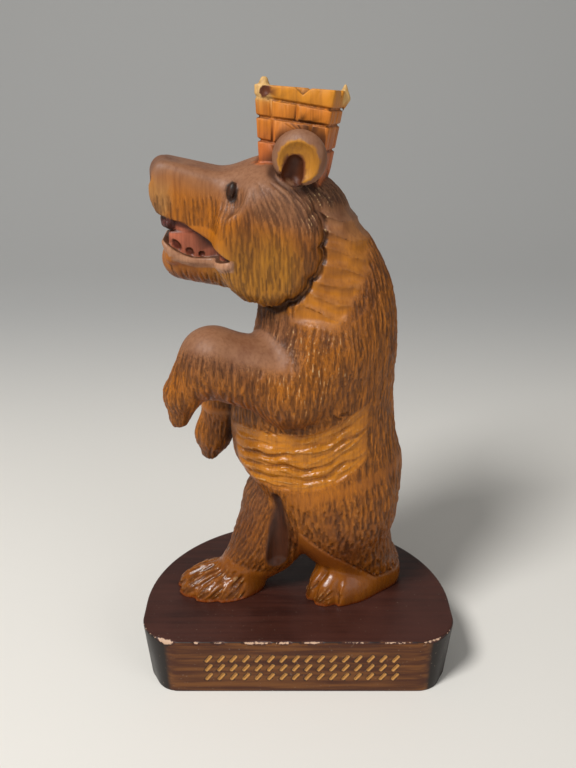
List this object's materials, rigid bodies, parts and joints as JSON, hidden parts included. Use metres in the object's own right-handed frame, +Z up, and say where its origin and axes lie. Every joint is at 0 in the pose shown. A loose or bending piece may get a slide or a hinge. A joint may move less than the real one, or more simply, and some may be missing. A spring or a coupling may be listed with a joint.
{
  "type": "carved wooden bear",
  "caption": "Carved and stained wooden bear walking upright with a small brick-wall crown on its head, standing on a D-shaped plinth.",
  "frame": {"origin": "centre of the plinth's underside", "axes": "+Z up the standing bear; the bear faces -X, and the plinth's straight front, beside its left flank, faces -Y"},
  "size_m": [0.079, 0.0565, 0.1457],
  "materials": {
    "bear_wood": "honey brown stained and lacquered carving",
    "base_wood": "dark brown stained, satin"
  },
  "bodies": {
    "root": {"bear": "bear_wood", "base": "base_wood"}
  },
  "joints": []
}
